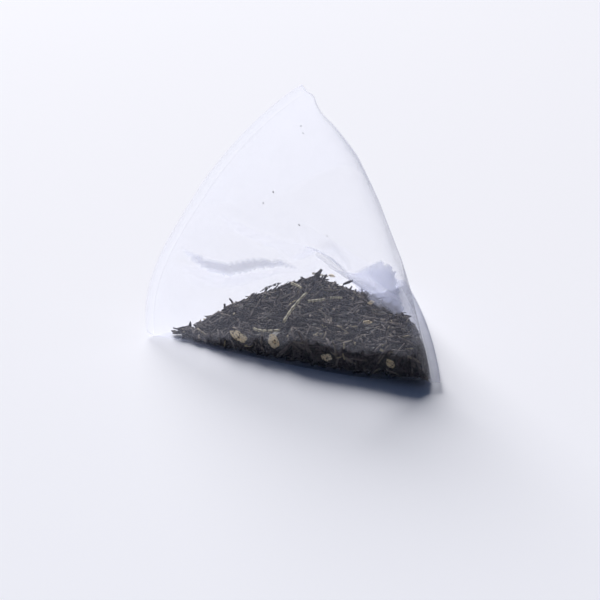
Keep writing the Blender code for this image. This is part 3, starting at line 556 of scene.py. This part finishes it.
def build_film(shift):
    """Both surfaces of the film as one closed mesh with a real wall, laid out flat in its UV map."""
    vertices, faces, spots, bunched_and_painted_shade = [], [], [], []
    base = 0
    for inset in (0.0, INNER_INSET):
        rings, rounds, bunches_and_painted_shade, along = film_rings(inset)
        if inset == 0.0:
            rings = with_fins(rings)
            rounds = [rounds[0]] + rounds + [rounds[-1]]
            bunches_and_painted_shade = [bunches_and_painted_shade[0]] + bunches_and_painted_shade + [bunches_and_painted_shade[-1]]
            along = np.concatenate([[-FIN_WIDTH], along, [TUBE_LENGTH + FIN_WIDTH]])
        count = len(rings[0])
        girth = 2 * TUBE_WIDTH
        for row in range(len(rings) - 1):
            for column in range(count):
                after = (column + 1) % count
                corners = ((row, column), (row, after), (row + 1, after), (row + 1, column))
                ends = (0, 1, 1, 0)
                face = [base + r * count + c for r, c in corners]
                spot = []
                for (r, c), end in zip(corners, ends):
                    place = girth if end and not after else rounds[r][c]
                    spot.append((along[r], place))
                if not inset:
                    face, spot = face[::-1], spot[::-1]
                faces.append(face)
                spots.append(spot)
        for row, first, last in ((0, SIDE_COLUMNS + FLAT_COLUMNS, 0), (len(rings) - 1, 0, 1)):
            mirror = count if last else 2 * first
            for c in range(first, first + count // 2):
                pair = (c, c + 1, mirror - c - 1, mirror - c)
                face = list(dict.fromkeys(base + row * count + x % count for x in pair))
                if len(face) < 3:
                    continue
                if bool(last) != bool(inset):
                    face = face[::-1]
                faces.append(face)
                spots.append([(along[row], rounds[row][(v - base) % count]) for v in face])
        vertices += rings
        bunched_and_painted_shade += bunches_and_painted_shade
        base += len(rings) * count
    vertices = np.concatenate(vertices) + shift
    # More layers: gathering with painted shade at the folds, and the crumpled film beside the heap
    bunched_and_painted_shade = np.concatenate(bunched_and_painted_shade) + veil(vertices)
    return add_mesh("film", vertices * MM, faces, spots, ("bunch_and_painted_shade", bunched_and_painted_shade))


def add_mesh(name, vertices, faces, spots=None, values=None):
    mesh = bpy.data.meshes.new(name)
    mesh.from_pydata(vertices.tolist(), [], faces)
    if spots:
        layer = mesh.uv_layers.new(name="film_mm")
        flat = [value for spot in spots for place in spot for value in place]
        layer.data.foreach_set("uv", flat)
    if values is not None:
        layer = mesh.attributes.new(values[0], "FLOAT", "POINT")
        layer.data.foreach_set("value", values[1])
    mesh.shade_smooth()
    mesh.update()
    made = bpy.data.objects.new(name, mesh)
    bpy.context.scene.collection.objects.link(made)
    return made


def film_material():
    """Fine white mesh: clear holes between threads that let light through and scatter it."""
    made, tree = nodes_of("mesh_film")
    place = add_node(tree, "ShaderNodeUVMap", uv_map="film_mm").outputs[0]
    split = add_node(tree, "ShaderNodeSeparateXYZ", {0: place})
    threads = []
    for axis in (0, 1):
        turn = math_node(tree, "MULTIPLY", split.outputs[axis], 2 * math.pi / THREAD_PITCH)
        threads.append(math_node(tree, "SINE", turn))
    weave = math_node(tree, "MAXIMUM", threads[0], threads[1])
    cloud = add_node(tree, "ShaderNodeTexNoise", {"Vector": place, "Scale": 0.16, "Detail": 2.0})
    thread = range_node(tree, weave, (-0.4, 1.0), THREAD_RANGE)
    patchy = range_node(tree, cloud.outputs["Fac"], (0.3, 0.7), CLOUD_RANGE)
    # The lap and the welds have two layers of film.
    from_lap = math_node(tree, "ABSOLUTE", math_node(
        tree, "SUBTRACT", split.outputs[1], 2 * TUBE_WIDTH - LAP_START - LAP_WIDTH / 2))
    on_lap = math_node(tree, "LESS_THAN", from_lap, LAP_WIDTH / 2)
    from_middle = math_node(tree, "ABSOLUTE", math_node(tree, "SUBTRACT", split.outputs[0], TUBE_LENGTH / 2))
    on_weld = math_node(tree, "GREATER_THAN", from_middle, TUBE_LENGTH / 2)
    # The lap shows where the film is drawn tight, towards the floor weld.
    ends = [share * TUBE_LENGTH for share in LAP_FADE]
    on_lap = math_node(tree, "MULTIPLY", on_lap, range_node(tree, split.outputs[0], ends, (LAP_FAINT, 1.0)))
    # More layers where the film gathers or is crumpled; at the folds they also paint the shade under them.
    bunch_and_painted_shade = add_node(tree, "ShaderNodeAttribute", attribute_name="bunch_and_painted_shade").outputs["Fac"]
    layers = math_node(tree, "ADD", math_node(tree, "ADD", 1.0, bunch_and_painted_shade),
                       math_node(tree, "MAXIMUM", on_lap, on_weld))
    cover = math_node(tree, "MULTIPLY", math_node(tree, "MULTIPLY", thread, patchy), SHADE_OF_LAYER)
    # Threads seen at a slant hide more: the clear share is raised to one over the cosine.
    facing = add_node(tree, "ShaderNodeLayerWeight", {"Blend": 0.5}).outputs["Facing"]
    cosine = math_node(tree, "MAXIMUM", math_node(tree, "SUBTRACT", 1.0, facing), LEAST_COSINE)
    power = math_node(tree, "DIVIDE", layers, cosine)
    clear_share = math_node(tree, "POWER", math_node(tree, "SUBTRACT", 1.0, cover), power)
    bump = add_node(tree, "ShaderNodeBump", {"Height": weave, "Strength": 0.06, "Distance": 0.00003})
    through = add_node(tree, "ShaderNodeBsdfTranslucent", {
        "Color": (*FILM_THROUGH, 1.0), "Normal": bump.outputs[0]})
    surface = add_node(tree, "ShaderNodeBsdfPrincipled", {
        "Base Color": (*FILM_COLOUR, 1.0), "Roughness": 0.42, "Normal": bump.outputs[0],
        "Specular IOR Level": 0.4})
    body = add_node(tree, "ShaderNodeMixShader", {
        0: FILM_BODY_SHARE, 1: through.outputs[0], 2: surface.outputs[0]})
    clear = add_node(tree, "ShaderNodeBsdfTransparent")
    to_surface(tree, add_node(tree, "ShaderNodeMixShader", {
        0: clear_share, 1: body.outputs[0], 2: clear.outputs[0]}))
    return made


def grain_node(tree, place, scale):
    grain = add_node(tree, "ShaderNodeTexNoise", {
        "Vector": place, "Scale": scale, "Detail": GRAIN_DETAIL, "Roughness": GRAIN_ROUGHNESS})
    return grain.outputs["Fac"]


def dry_surface(tree, colour, grain, bumps, roughness, specular):
    """A dry, finely rough surface; bumps has their strength and their height in metres."""
    bump = add_node(tree, "ShaderNodeBump", {"Height": grain, "Strength": bumps[0], "Distance": bumps[1]})
    to_surface(tree, add_node(tree, "ShaderNodeBsdfPrincipled", {
        "Base Color": colour, "Roughness": roughness, "Normal": bump.outputs[0],
        "Specular IOR Level": specular}))


def bark_material(name, dark, middle, light):
    """Dry stalk, chip or curled leaf, with tones that vary over each piece."""
    made, tree = nodes_of(name)
    place = add_node(tree, "ShaderNodeTexCoord").outputs["Object"]
    grain = grain_node(tree, place, 1400.0)
    tint = add_node(tree, "ShaderNodeTexNoise", {"Vector": place, "Scale": 500.0}).outputs["Fac"]
    value = math_node(tree, "ADD", math_node(tree, "SUBTRACT", tint, 0.17),
                      math_node(tree, "MULTIPLY", grain, 0.35))
    ramp = add_node(tree, "ShaderNodeValToRGB", {"Fac": value})
    stops = ramp.color_ramp.elements
    stops[0].color = (*dark, 1.0)
    stops[1].color = (*light, 1.0)
    stops.new(0.72).color = (*middle, 1.0)
    dry_surface(tree, ramp.outputs["Color"], grain, (0.5, 0.00008), 0.62, 0.35)
    return made


def leaf_material():
    """Dry rolled leaf: nearly black through grey-brown and olive to straw, by each piece's tint, which is
    paler high on the heap as painted light.
    """
    made, tree = nodes_of("tea_leaf")
    grain = grain_node(tree, add_node(tree, "ShaderNodeTexCoord").outputs["Object"], 1500.0)
    tint = add_node(tree, "ShaderNodeAttribute", attribute_name="tint").outputs["Fac"]
    spread = math_node(tree, "MULTIPLY", math_node(tree, "SUBTRACT", grain, 0.5), 0.45)
    ramp = add_node(tree, "ShaderNodeValToRGB", {"Fac": math_node(tree, "ADD", tint, spread)})
    stops = ramp.color_ramp.elements
    for position, colour in LEAF_TONES[1:-1]:
        stops.new(position).color = (*colour, 1.0)
    stops[0].color = (*LEAF_TONES[0][1], 1.0)
    stops[-1].color = (*LEAF_TONES[-1][1], 1.0)
    dry_surface(tree, ramp.outputs["Color"], grain, (0.6, 0.0001), 0.8, 0.12)
    return made


# The leaf bed

def mesh_arrays(node):
    """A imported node's points, in millimetres, and its triangles."""
    mesh = bpy.data.objects[node].data
    mesh.calc_loop_triangles()
    points = np.array([tuple(v.co) for v in mesh.vertices]) / MM
    return points, np.array([tuple(t.vertices) for t in mesh.loop_triangles])


def settled(points):
    """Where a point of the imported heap's surface lies once the loose leaf on it is counted in."""
    moved = points.copy()
    height = np.clip((points[:, 2] - SETTLE_FROM) / (SETTLE_TO - SETTLE_FROM), 0.0, 1.0)
    moved[:, 2] -= SETTLE * height * height * (3 - 2 * height)
    # The leaf at the front is pressed up against the film.
    front = (np.clip((FRONT_FROM - points[:, 1]) / FRONT_RUN, 0.0, 1.0)
             * np.clip(points[:, 2] / FRONT_FULL, 0.0, 1.0))
    rough = 1.0 + FRONT_UNEVEN * noise(points[:, 0] / 2.2 + 20.0, points[:, 1] / 3.0 + 20.0, FRONT_SEED)
    moved[:, 2] += FRONT_RAISE * front * front * (3 - 2 * front) * rough
    # The heap runs out in a thin tip on the left, and fills the front corner of the floor weld.
    to_tip = np.clip((TIP_FROM - points[:, 0]) / TIP_RUN, 0.0, 1.0)
    moved[:, 0] += TIP_BACK * to_tip
    moved[:, 2] *= 1.0 - TIP_THIN * to_tip
    corner = (np.clip(2 * points[:, 0] / REACH, 0.0, 1.0)
              * np.clip(-2 * points[:, 1] / TUBE_WIDTH, 0.0, 1.0))
    moved += (corner ** 3)[:, None] * np.array(CORNER_FILL)
    # Along the floor weld the leaf keeps to the front.
    keep = np.interp(points[:, 0], *np.array(BACK_KEEP).T)
    moved[:, 1] = -TUBE_WIDTH / 2 + (moved[:, 1] + TUBE_WIDTH / 2) * keep
    moved[:, 2] *= 1.0 - KEEP_LOWERS * (1.0 - keep)
    # The floor weld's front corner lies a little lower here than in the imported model.
    to_end = np.clip((points[:, 0] / REACH + 0.5 - LIFT_START) / (1.0 - LIFT_START), 0.0, None)
    to_corner = np.clip(-points[:, 1] / (TUBE_WIDTH / 2) - LIFT_SIDE, 0.0, None) / (1.0 - LIFT_SIDE)
    moved[:, 2] -= (PACKED_LIFT - CORNER_LIFT) * to_end ** 2 * to_corner ** 2
    return moved


def surface_samples(points, triangles, number, draw):
    """Points and outward normals spread evenly over a surface."""
    corners = points[triangles]
    cross = np.cross(corners[:, 1] - corners[:, 0], corners[:, 2] - corners[:, 0])
    area = np.linalg.norm(cross, axis=1) / 2
    chosen = draw.choice(len(area), number, p=area / area.sum())
    u, v = draw.random(number), draw.random(number)
    over = u + v > 1
    u[over], v[over] = 1 - u[over], 1 - v[over]
    corner = corners[chosen]
    first, second = corner[:, 1] - corner[:, 0], corner[:, 2] - corner[:, 0]
    places = corner[:, 0] + u[:, None] * first + v[:, None] * second
    return places, cross[chosen] / (2 * area[chosen])[:, None]


def lengths(vectors):
    return np.linalg.norm(vectors, axis=-1)[..., None]


def leaf_lines(points, normals, draw, span, tilt):
    """The middle line of one bent strip at each point, laid along the surface there."""
    number = len(points)
    upright = np.abs(normals[:, 2:3]) > 0.9
    helper = np.where(upright, np.array([[1.0, 0.0, 0.0]]), np.array([[0.0, 0.0, 1.0]]))
    first = np.cross(normals, helper)
    first /= lengths(first)
    second = np.cross(normals, first)
    turn = draw.uniform(0.0, 2 * math.pi, number)[:, None]
    along = first * np.cos(turn) + second * np.sin(turn)
    side = np.cross(normals, along)
    lean = draw.normal(0.0, 1.0, number)[:, None] * tilt[:, None]
    up = normals * np.cos(lean) - along * np.sin(lean)
    along = along * np.cos(lean) + normals * np.sin(lean)
    share = np.linspace(0.0, 1.0, LEAF_RINGS)
    arch = 4 * share * (1 - share) - 0.5
    bend = draw.normal(0.0, 0.05, number) * span
    hump = draw.normal(0.0, 0.025, number) * span
    crook = draw.normal(0.0, 0.012, number) * span
    wave = np.sin(2 * math.pi * share)
    return (points[:, None] + along[:, None] * ((share - 0.5)[None] * span[:, None])[..., None]
            + side[:, None] * (bend[:, None] * arch + crook[:, None] * wave)[..., None]
            + up[:, None] * (hump[:, None] * arch)[..., None])


def rolled_leaves(lines, normals, draw, wide, flat):
    """Vertices of a twisted, uneven strip round each middle line."""
    number = len(lines)
    along = np.gradient(lines, axis=1)
    along /= lengths(along)
    side = np.cross(np.repeat(normals[:, None], LEAF_RINGS, axis=1), along)
    side /= lengths(side)
    up = np.cross(along, side)
    thick = wide * draw.uniform(0.3, 0.75, number)
    twist = draw.uniform(-1.1, 1.1, number) * math.pi
    phase = draw.uniform(0.0, math.pi, number)
    uneven = draw.uniform(0.7, 1.15, (number, LEAF_RINGS))
    share = np.linspace(0.0, 1.0, LEAF_RINGS)
    body = (0.4 + 0.6 * np.sin(math.pi * (0.1 + 0.8 * share))) * uneven
    # A strip that lies flat against the film turns little.
    spin = (twist[:, None] * share * 0.6 + phase[:, None]) * flat[:, None]
    angle = 2 * math.pi * np.arange(LEAF_SIDES) / LEAF_SIDES
    across = (wide / 2)[:, None, None] * body[..., None] * np.cos(angle)
    deep = (thick / 2)[:, None, None] * body[..., None] * np.sin(angle)
    x = across * np.cos(spin)[..., None] - deep * np.sin(spin)[..., None]
    y = across * np.sin(spin)[..., None] + deep * np.cos(spin)[..., None]
    return lines[:, :, None] + side[:, :, None] * x[..., None] + up[:, :, None] * y[..., None]


def leaf_faces(number):
    """Faces of that many strips, one after another."""
    template = []
    for ring in range(LEAF_RINGS - 1):
        for corner in range(LEAF_SIDES):
            after = (corner + 1) % LEAF_SIDES
            low, high = ring * LEAF_SIDES, (ring + 1) * LEAF_SIDES
            template.append((low + corner, low + after, high + after, high + corner))
    step = LEAF_RINGS * LEAF_SIDES
    ends = [tuple(range(LEAF_SIDES))[::-1], tuple(range(step - LEAF_SIDES, step))]
    faces = []
    for k in range(number):
        base = k * step
        faces += [tuple(v + base for v in face) for face in template]
        faces += [tuple(v + base for v in face) for face in ends]
    return faces


def keep_inside(starts, points, film_tree, clearance):
    """Moves points that are outside the film, or too near it, to its inside. Each start is inside."""
    shape = points.shape
    flat = points.reshape(-1, 3)
    per_start = len(flat) // len(starts)
    for k, point in enumerate(flat):
        point[2] = max(point[2], INNER_INSET + clearance)
        place, normal, _, distance = film_tree.find_nearest(Vector(point))
        if distance < NEAR_FILM:
            if (Vector(point) - place).dot(normal) > -clearance:
                flat[k] = np.array(place - normal * clearance)
            continue
        start = Vector(starts[k // per_start])
        way = Vector(point) - start
        hit, normal, _, run = film_tree.ray_cast(start, way.normalized(), way.length)
        if hit is not None:
            flat[k] = np.array(hit - normal * clearance)
    return flat.reshape(shape)


def inner_film_tree(shift):
    """The film's inner surface, for keeping the leaf inside it."""
    rings = film_rings(INNER_INSET)[0]
    count = len(rings[0])
    vertices = np.concatenate(rings) + shift
    faces = []
    for row in range(len(rings) - 1):
        for column in range(count):
            after = (column + 1) % count
            low, high = row * count, (row + 1) * count
            faces.append((low + column, high + column, high + after, low + after))
    return BVHTree.FromPolygons([Vector(v) for v in vertices], faces)


def add_heap_piece(made, look):
    """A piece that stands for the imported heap."""
    made.data.materials.append(look)
    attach(made, "root")
    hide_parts("tea_heap")


def build_core(points, triangles):
    """The dark inside of the heap, a little smaller than the leaf that covers it."""
    middle = points.mean(axis=0)
    shrunk = points.copy()
    shrunk[:, :2] = middle[:2] + (points[:, :2] - middle[:2]) * CORE_SHRINK
    shrunk[:, 2] = CORE_FLOOR + (points[:, 2] - CORE_FLOOR) * CORE_SHRINK
    shrunk[:, 2] = np.maximum(shrunk[:, 2], CORE_FLOOR)
    look = bark_material("tea_core", (0.010, 0.009, 0.010), (0.03, 0.027, 0.025), (0.06, 0.055, 0.045))
    add_heap_piece(add_mesh("tea_core", shrunk * MM, triangles.tolist()), look)


def standing_leaves(points):
    """Middle lines, normals and widths of the leaves that stand out of the crest of the heap."""
    lines, normals, wide = [], [], []
    for first, last, width in STANDING_LEAVES:
        start, way = pixel_ray(first)
        runs = (points - start) @ way
        off = np.linalg.norm(points - start - runs[:, None] * way, axis=1)
        depth = runs[off < off.min() + STANDING_NEAR].min() + STANDING_SINK
        far_start, far_way = pixel_ray(last)
        near = start + way * depth
        far = far_start + far_way * (depth / far_way.dot(way))
        share = np.linspace(0.0, 1.0, LEAF_RINGS)[:, None]
        lines.append(near * (1 - share) + far * share)
        normals.append(-way)
        wide.append(width)
    return np.array(lines), np.array(normals), np.array(wide)


def film_place(film_tree, pixel):
    """Place and normal where the ray through a pixel of the photograph meets the film's inner surface."""
    start, way = (Vector(part) for part in pixel_ray(pixel))
    place, normal, _, _ = film_tree.ray_cast(start, way)
    return np.array(place), np.array(normal)


def clinging_specks(film_tree):
    """Specks of dust that cling to the inside of the film."""
    draw = np.random.default_rng(SPECK_SEED)
    number = len(FILM_SPECKS)
    hits = [film_place(film_tree, pixel) for pixel in FILM_SPECKS]
    places, normals = (np.array(part) for part in zip(*hits))
    flat = np.full(number, 0.02)
    lines = leaf_lines(places - normals * SPECK_GAP, normals, draw, draw.uniform(*SPECK_SPAN, number), flat)
    leaves = rolled_leaves(lines, normals, draw, draw.uniform(*SPECK_WIDTH, number), flat * 5)
    return leaves, np.full(number, SPECK_TINT), places - normals * START_DEPTH


def bed_leaves(kind, points, triangles, film_tree, loose_trees):
    """Strips of one kind laid over the heap, their tints, and a place inside the heap under each."""
    number, span, width, lift, tilt, tint = LEAF_KINDS[kind]
    draw = np.random.default_rng(BED_SEED + kind)
    places, normals = surface_samples(points, triangles, number, draw)
    # The free surface looks up and is away from the film; the rest is pressed against the film.
    clearance = np.array([film_tree.find_nearest(Vector(p))[3] for p in places])
    free = np.clip((clearance - FREE_FROM) / FREE_RUN, 0.0, 1.0)
    spans = draw.uniform(*span, number)
    wide = draw.uniform(*width, number)
    raised = places + normals * draw.uniform(*lift, number)[:, None]
    starts = places - normals * START_DEPTH
    lines = leaf_lines(raised, normals, draw, spans, 0.02 + tilt * free)
    lines = keep_inside(starts, lines, film_tree, LINE_CLEARANCE)
    leaves = rolled_leaves(lines, normals, draw, wide, 0.2 + 0.8 * free)
    # Pieces high on the heap get paler tints: painted light on the heap's top.
    high = np.clip((places[:, 2] - HIGH_FROM) / HIGH_RUN, 0.0, 1.0)
    across, along = places[:, 0] / BLOTCH_SIZE, places[:, 1] / BLOTCH_SIZE + places[:, 2] / 2.0
    blotch = noise(across + 30.0, along + 30.0, BLOTCH_SEED)
    tints = tint[0] + (tint[1] - tint[0]) * draw.beta(1.3, 2.6, number) + HIGH_PAINTED_LIGHT * high
    tints = np.maximum(tints + BLOTCH * blotch, 0.0)
    clear = np.array([all(one.find_nearest(Vector(p), LOOSE_GAP)[0] is None
                          for one in loose_trees for p in line) for line in lines])
    return leaves[clear], tints[clear], starts[clear]


def build_leaf_bed(film_tree, look):
    """The heap: a dark core under thousands of loose strips, in pieces of LEAVES_PER_PIECE."""
    points, triangles = mesh_arrays("tea_heap")
    points = settled(points)
    inside = points.mean(axis=0)[None] * np.array([1.0, 1.0, 0.5])
    points = keep_inside(inside, points, film_tree, CORE_CLEARANCE)
    build_core(points, triangles)
    loose = [mesh_arrays(name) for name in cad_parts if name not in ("mesh_pouch", "tea_heap")]
    loose_trees = [BVHTree.FromPolygons([Vector(p) for p in some], faces.tolist())
                   for some, faces in loose]
    groups = [bed_leaves(kind, points, triangles, film_tree, loose_trees)
              for kind in range(len(LEAF_KINDS))]
    draw = np.random.default_rng(STANDING_SEED)
    lines, normals, wide = standing_leaves(points)
    leaves = rolled_leaves(lines, normals, draw, wide, np.full(len(lines), 0.25))
    groups.append((leaves, np.full(len(lines), STANDING_TINT), lines[:, 0]))
    groups.append(clinging_specks(film_tree))
    leaves, tints, starts = (np.concatenate(parts) for parts in zip(*groups))
    leaves = keep_inside(starts, leaves, film_tree, FILM_CLEARANCE)
    for group, start in enumerate(range(0, len(leaves), LEAVES_PER_PIECE)):
        some = leaves[start:start + LEAVES_PER_PIECE]
        shades = np.repeat(tints[start:start + LEAVES_PER_PIECE], LEAF_RINGS * LEAF_SIDES)
        made = add_mesh(f"leaf_bed_{group + 1}", some.reshape(-1, 3) * MM, leaf_faces(len(some)),
                        values=("tint", shades))
        add_heap_piece(made, look)


def dress_nodes():
    """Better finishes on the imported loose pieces."""
    looks = {
        "stem": bark_material("stem_bark", (0.38, 0.34, 0.22), (0.68, 0.61, 0.41), (0.86, 0.78, 0.56)),
        "leaf": bark_material("curled_leaf", (0.022, 0.020, 0.020), (0.075, 0.068, 0.055),
                              (0.22, 0.19, 0.12)),
        "chip": bark_material("stalk_chip", (0.74, 0.56, 0.30), (0.95, 0.82, 0.56), (0.97, 0.90, 0.70)),
    }
    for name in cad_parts:
        made = bpy.data.objects[name]
        kind = "stem" if name.startswith(("stem", "stalk")) else name.split("_")[0]
        if kind in looks:
            made.data.materials.clear()
            made.data.materials.append(looks[kind])
            smooth = made.modifiers.new("smooth", "SUBSURF")
            smooth.levels = smooth.render_levels = 2


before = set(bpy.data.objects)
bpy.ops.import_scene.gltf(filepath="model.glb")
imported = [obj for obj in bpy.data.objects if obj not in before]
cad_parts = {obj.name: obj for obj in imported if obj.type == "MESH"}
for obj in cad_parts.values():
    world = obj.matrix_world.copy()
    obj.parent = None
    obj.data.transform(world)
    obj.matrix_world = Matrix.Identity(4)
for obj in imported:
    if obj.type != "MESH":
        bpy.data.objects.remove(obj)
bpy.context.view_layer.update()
setup_camera()
setup_floor()
setup_light()
film_move = film_shift()
film = build_film(film_move)
film.data.materials.append(film_material())
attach(film, "root")
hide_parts("mesh_pouch")
tree = inner_film_tree(film_move)
build_leaf_bed(tree, leaf_material())
dress_nodes()
view = bpy.context.scene.view_settings
view.view_transform = "Standard"
bpy.context.scene.cycles.transparent_max_bounces = CLEAR_BOUNCES
bpy.context.view_layer.update()
